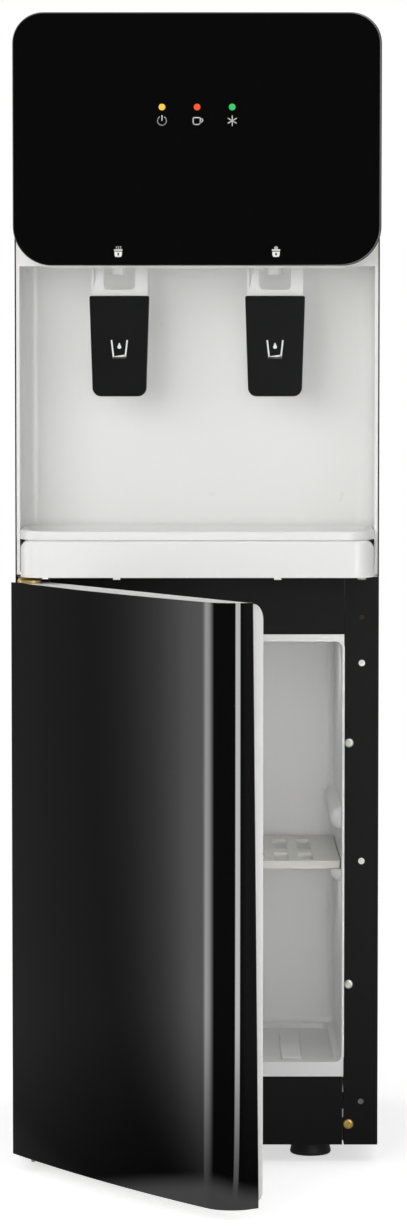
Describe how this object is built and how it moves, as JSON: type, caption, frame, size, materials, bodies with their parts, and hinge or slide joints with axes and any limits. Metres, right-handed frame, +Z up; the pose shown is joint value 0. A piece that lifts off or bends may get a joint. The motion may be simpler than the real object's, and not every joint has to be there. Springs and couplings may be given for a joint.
{
  "type": "floor-standing hot and cold water cooler",
  "caption": "Floor-standing hot and cold water dispenser with bottle well on top, paddle taps over a drip tray, gloss control panel and a hinged door on a shelved storage compartment.",
  "frame": {"origin": "on the floor under the middle of the cabinet", "axes": "+Z up, +X to the right of someone facing the front, -Y out of the front"},
  "size_m": [0.3125, 0.5987, 0.981],
  "materials": {
    "black_steel": "satin black powder coat",
    "zinc_sheet": "galvanised sheet",
    "liner_white": "vacuum formed white plastic",
    "foam": "rigid foam",
    "foam_white": "white skinned rigid foam",
    "cream_plastic": "moulded cream plastic",
    "black_foot": "matt black rubber",
    "screw_steel": "plated steel",
    "yellow_zinc": "yellow passivated zinc",
    "white_plastic": "satin white moulding",
    "black_gloss": "high gloss black",
    "gasket_grey": "soft grey seal",
    "lamp_yellow": "clear yellow lens",
    "lamp_red": "clear red lens",
    "lamp_green": "clear green lens",
    "circuit_green": "lacquered board",
    "black_pad": "satin black",
    "stainless": "brushed stainless",
    "silicone": "translucent silicone",
    "compressor_black": "black enamel",
    "copper": "bare copper",
    "condenser_black": "black painted wire and tube",
    "switch_red": "red rocker",
    "switch_green": "green rocker",
    "black_plastic": "black moulding",
    "drain_cap": "white screw cap"
  },
  "bodies": {
    "cabinet": {"back_cover": "zinc_sheet", "base_plate": "zinc_sheet", "bottle_guard": "white_plastic", "bottom_cross_member": "black_steel", "cold_tank": "stainless", "cold_tank_foam": "foam", "cold_tap_body": "white_plastic", "column_screws": "screw_steel", "compartment_foam": "foam", "compartment_liner": "liner_white", "compressor": "compressor_black", "compressor_grommets": "black_foot", "condenser": "condenser_black", "control_panel": "black_gloss", "drain_caps": "drain_cap", "drain_spigots": "white_plastic", "feet": "black_foot", "filter_drier": "copper", "front_column_left": "black_steel", "front_column_right": "black_steel", "front_fascia": "white_plastic", "hinge_bracket_lower": "black_steel", "hinge_bracket_upper": "yellow_zinc", "hinge_pins": "screw_steel", "hole_plugs": "white_plastic", "hot_tank": "stainless", "hot_tank_foam": "foam", "hot_tap_body": "white_plastic", "lamp_board": "circuit_green", "lamp_cooling": "lamp_green", "lamp_heating": "lamp_red", "lamp_power": "lamp_yellow", "mid_shelf": "zinc_sheet", "panel_carrier": "white_plastic", "power_inlet": "black_plastic", "shelf": "cream_plastic", "side_panel_left": "black_steel", "side_panel_right": "black_steel", "switch_housings": "black_plastic", "tank_bracket": "zinc_sheet", "tap_pivot_pins": "screw_steel", "tap_springs": "screw_steel", "top_cover": "white_plastic", "top_cross_member": "black_steel", "tray_skirt": "white_plastic", "water_tubes": "silicone", "yellow_screws": "yellow_zinc"},
    "door": {"door_skin": "black_gloss", "door_core": "foam_white", "door_liner": "white_plastic", "door_gasket": "gasket_grey", "hinge_bushes": "white_plastic"},
    "hot_paddle": {"hot_tap_lever": "white_plastic", "hot_tap_pad": "black_pad"},
    "cold_paddle": {"cold_tap_lever": "white_plastic", "cold_tap_pad": "black_pad"},
    "tray": {"drip_tray": "white_plastic"},
    "grille": {"drip_grille": "white_plastic"},
    "hot_rocker": {"hot_switch": "switch_red"},
    "cold_rocker": {"cold_switch": "switch_green"}
  },
  "joints": [
    {"name": "door_hinge", "type": "hinge", "parent": "cabinet", "child": "door", "pos_m": [-0.14, -0.1891, 0.25], "axis": [0, 0, -1], "range_deg": [-54.9, 60]},
    {"name": "hot_paddle_pivot", "type": "hinge", "parent": "cabinet", "child": "hot_paddle", "pos_m": [-0.0662, -0.136, 0.784], "axis": [1, 0, 0], "range_deg": [0, 12], "stiffness_Nm_per_rad": 0.6, "springref_deg": -11.46},
    {"name": "cold_paddle_pivot", "type": "hinge", "parent": "cabinet", "child": "cold_paddle", "pos_m": [0.0662, -0.136, 0.784], "axis": [1, 0, 0], "range_deg": [0, 12], "stiffness_Nm_per_rad": 0.6, "springref_deg": -11.46},
    {"name": "tray_lift", "type": "slide", "parent": "cabinet", "child": "tray", "axis": [0, 0, 1], "range_m": [0, 0.04]},
    {"name": "grille_lift", "type": "slide", "parent": "tray", "child": "grille", "axis": [0, 0, 1], "range_m": [0, 0.02]},
    {"name": "hot_rocker_tilt", "type": "hinge", "parent": "cabinet", "child": "hot_rocker", "pos_m": [0.02, 0.151, 0.87], "axis": [-1, 0, 0], "range_deg": [0, 10]},
    {"name": "cold_rocker_tilt", "type": "hinge", "parent": "cabinet", "child": "cold_rocker", "pos_m": [-0.02, 0.151, 0.87], "axis": [-1, 0, 0], "range_deg": [0, 10]}
  ]
}
